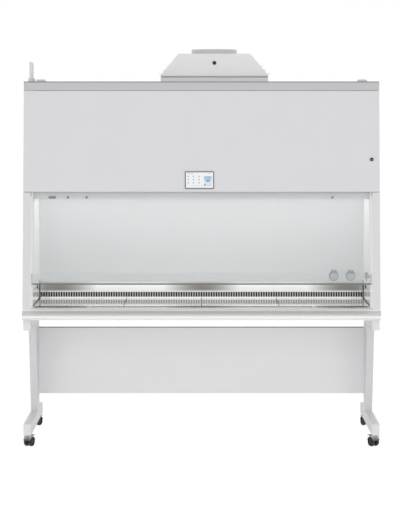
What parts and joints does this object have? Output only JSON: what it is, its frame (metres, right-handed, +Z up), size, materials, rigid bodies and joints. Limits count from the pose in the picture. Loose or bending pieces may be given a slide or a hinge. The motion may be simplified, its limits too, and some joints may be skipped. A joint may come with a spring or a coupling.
{
  "type": "biosafety cabinet",
  "caption": "Wide biosafety cabinet with a sloping glass sash, hinged fascia and exhaust hood, on a C-frame stand with swivelling castors.",
  "frame": {"origin": "on the floor, under the middle of the footprint", "axes": "+X to the user's right along the cabinet, +Y from the user to the back, +Z up"},
  "size_m": [1.9355, 0.876, 2.133],
  "materials": {
    "powder_coat": "light grey powder coat, fine texture",
    "stainless": "brushed stainless steel",
    "polished_stainless": "bright-annealed stainless steel",
    "zinc_steel": "zinc-plated steel",
    "glass": "clear toughened glass",
    "clear_plastic": "clear polycarbonate",
    "white_plastic": "white moulded plastic",
    "screen": "touch screen with a plain status display",
    "grey_plastic": "dark grey moulded plastic",
    "light_grey_plastic": "light grey moulded plastic",
    "black_rubber": "black rubber",
    "wheel": "black polyurethane tyre on a black hub",
    "filter_media": "pleated glass-fibre filter pack",
    "lamp": "white lamp tube",
    "steel_weight": "plain steel bar",
    "brass": "coated brass"
  },
  "bodies": {
    "cabinet": {"side_panels": "powder_coat", "back_panel": "powder_coat", "top_cover": "powder_coat", "sampling_pipe": "powder_coat", "hood_base": "powder_coat", "exhaust_hood": "powder_coat", "duct_collar": "stainless", "chamber_liners": "stainless", "chamber_back_wall": "stainless", "ceiling_frame": "powder_coat", "air_diffuser": "powder_coat", "lamp_tubes": "lamp", "ceiling_sensors": "grey_plastic", "work_trays": "polished_stainless", "front_grille": "polished_stainless", "base_pan": "stainless", "armrest": "stainless", "socket_bodies": "light_grey_plastic", "gas_valve": "brass", "service_plugs": "black_rubber", "supply_filter": "filter_media", "exhaust_filter": "filter_media", "blower_plenum": "zinc_steel", "blower_motors": "grey_plastic", "inner_front_panel": "powder_coat", "fascia_hinge": "zinc_steel", "sash_guides": "white_plastic", "sash_brackets": "zinc_steel", "weight_channels": "zinc_steel", "stand_side_right": "powder_coat", "stand_side_left": "powder_coat", "tube_caps": "white_plastic", "stand_panel": "powder_coat", "castor_heads": "zinc_steel"},
    "sash": {"sash_glass": "glass", "sash_handle": "clear_plastic"},
    "counterweight_left": {"counterweight_left": "steel_weight"},
    "counterweight_right": {"counterweight_right": "steel_weight"},
    "fascia": {"fascia": "powder_coat", "touch_screen": "screen"},
    "lock": {"lock_barrel": "zinc_steel"},
    "socket_lid_left": {"socket_lid_left": "light_grey_plastic"},
    "socket_lid_right": {"socket_lid_right": "light_grey_plastic"},
    "gas_handle": {"gas_handle": "grey_plastic"},
    "fan_left": {"fan_left": "grey_plastic"},
    "fan_right": {"fan_right": "grey_plastic"},
    "pulley_front_left": {"pulley_front_left": "white_plastic"},
    "pulley_back_left": {"pulley_back_left": "white_plastic"},
    "pulley_front_right": {"pulley_front_right": "white_plastic"},
    "pulley_back_right": {"pulley_back_right": "white_plastic"},
    "castor_fork_front_left": {"castor_fork_front_left": "grey_plastic"},
    "castor_wheels_front_left": {"castor_wheels_front_left": "wheel"},
    "castor_pedal_front_left": {"castor_pedal_front_left": "grey_plastic"},
    "castor_fork_back_left": {"castor_fork_back_left": "grey_plastic"},
    "castor_wheels_back_left": {"castor_wheels_back_left": "wheel"},
    "castor_fork_front_right": {"castor_fork_front_right": "grey_plastic"},
    "castor_wheels_front_right": {"castor_wheels_front_right": "wheel"},
    "castor_pedal_front_right": {"castor_pedal_front_right": "grey_plastic"},
    "castor_fork_back_right": {"castor_fork_back_right": "grey_plastic"},
    "castor_wheels_back_right": {"castor_wheels_back_right": "wheel"}
  },
  "joints": [
    {"name": "sash_slide", "type": "slide", "parent": "cabinet", "child": "sash", "axis": [0, 0.0958, 0.9954], "range_m": [-0.124, 0.34]},
    {"name": "counterweight_left_slide", "type": "slide", "parent": "cabinet", "child": "counterweight_left", "axis": [0, 0, 1], "range_m": [-0.34, 0.124]},
    {"name": "counterweight_right_slide", "type": "slide", "parent": "cabinet", "child": "counterweight_right", "axis": [0, 0, 1], "range_m": [-0.34, 0.124]},
    {"name": "pulley_front_left_spin", "type": "hinge", "parent": "cabinet", "child": "pulley_front_left", "pos_m": [-0.861, -0.25781, 1.928], "axis": [1, 0, 0], "continuous": true},
    {"name": "pulley_back_left_spin", "type": "hinge", "parent": "cabinet", "child": "pulley_back_left", "pos_m": [-0.861, 0.2927, 1.928], "axis": [1, 0, 0], "continuous": true},
    {"name": "pulley_front_right_spin", "type": "hinge", "parent": "cabinet", "child": "pulley_front_right", "pos_m": [0.861, -0.25781, 1.928], "axis": [1, 0, 0], "continuous": true},
    {"name": "pulley_back_right_spin", "type": "hinge", "parent": "cabinet", "child": "pulley_back_right", "pos_m": [0.861, 0.2927, 1.928], "axis": [1, 0, 0], "continuous": true},
    {"name": "fascia_hinge_turn", "type": "hinge", "parent": "cabinet", "child": "fascia", "pos_m": [0, -0.29352, 1.90151], "axis": [-1, 0, 0], "range_deg": [0, 75]},
    {"name": "lock_turn", "type": "hinge", "parent": "fascia", "child": "lock", "pos_m": [0.908, -0.33174, 1.538], "axis": [0, -0.9954, 0.0958], "range_deg": [0, 90]},
    {"name": "socket_lid_left_turn", "type": "hinge", "parent": "cabinet", "child": "socket_lid_left", "pos_m": [0.741, 0.182, 0.9005], "axis": [-1, 0, 0], "range_deg": [0, 110]},
    {"name": "socket_lid_right_turn", "type": "hinge", "parent": "cabinet", "child": "socket_lid_right", "pos_m": [0.835, 0.182, 0.9005], "axis": [-1, 0, 0], "range_deg": [0, 110]},
    {"name": "gas_handle_turn", "type": "hinge", "parent": "cabinet", "child": "gas_handle", "pos_m": [0.8835, -0.297, 0.919], "axis": [0, 0, -1], "range_deg": [0, 90]},
    {"name": "fan_left_spin", "type": "hinge", "parent": "cabinet", "child": "fan_left", "pos_m": [-0.45, -0.031, 1.5835], "axis": [0, 0, 1], "continuous": true},
    {"name": "fan_right_spin", "type": "hinge", "parent": "cabinet", "child": "fan_right", "pos_m": [0.45, -0.031, 1.5835], "axis": [0, 0, 1], "continuous": true},
    {"name": "castor_front_left_swivel", "type": "hinge", "parent": "cabinet", "child": "castor_fork_front_left", "pos_m": [-0.93, -0.324, 0.053], "axis": [0, 0, 1], "continuous": true},
    {"name": "castor_front_left_roll", "type": "hinge", "parent": "castor_fork_front_left", "child": "castor_wheels_front_left", "pos_m": [-0.92324, -0.3095, 0.025], "axis": [-0.9063, 0.4226, 0], "continuous": true},
    {"name": "castor_front_left_pedal", "type": "hinge", "parent": "castor_fork_front_left", "child": "castor_pedal_front_left", "pos_m": [-0.91563, -0.29319, 0.0537], "axis": [-0.9063, 0.4226, 0], "range_deg": [0, 12]},
    {"name": "castor_back_left_swivel", "type": "hinge", "parent": "cabinet", "child": "castor_fork_back_left", "pos_m": [-0.93, 0.413, 0.053], "axis": [0, 0, 1], "continuous": true},
    {"name": "castor_back_left_roll", "type": "hinge", "parent": "castor_fork_back_left", "child": "castor_wheels_back_left", "pos_m": [-0.938, 0.39914, 0.025], "axis": [0.866, -0.5, 0], "continuous": true},
    {"name": "castor_front_right_swivel", "type": "hinge", "parent": "cabinet", "child": "castor_fork_front_right", "pos_m": [0.93, -0.324, 0.053], "axis": [0, 0, 1], "continuous": true},
    {"name": "castor_front_right_roll", "type": "hinge", "parent": "castor_fork_front_right", "child": "castor_wheels_front_right", "pos_m": [0.92152, -0.31043, 0.025], "axis": [-0.848, -0.5299, 0], "continuous": true},
    {"name": "castor_front_right_pedal", "type": "hinge", "parent": "castor_fork_front_right", "child": "castor_pedal_front_right", "pos_m": [0.91198, -0.29517, 0.0537], "axis": [-0.848, -0.5299, 0], "range_deg": [0, 12]},
    {"name": "castor_back_right_swivel", "type": "hinge", "parent": "cabinet", "child": "castor_fork_back_right", "pos_m": [0.93, 0.413, 0.053], "axis": [0, 0, 1], "continuous": true},
    {"name": "castor_back_right_roll", "type": "hinge", "parent": "castor_fork_back_right", "child": "castor_wheels_back_right", "pos_m": [0.93599, 0.39816, 0.025], "axis": [0.9272, 0.3746, 0], "continuous": true}
  ],
  "couplings": [
    {"joint": "counterweight_left_slide", "follows": "sash_slide", "ratio": -1},
    {"joint": "counterweight_right_slide", "follows": "sash_slide", "ratio": -1},
    {"joint": "pulley_front_left_spin", "follows": "sash_slide", "rad_per_m": -51.28},
    {"joint": "pulley_back_left_spin", "follows": "sash_slide", "rad_per_m": -51.28},
    {"joint": "pulley_front_right_spin", "follows": "sash_slide", "rad_per_m": -51.28},
    {"joint": "pulley_back_right_spin", "follows": "sash_slide", "rad_per_m": -51.28}
  ]
}
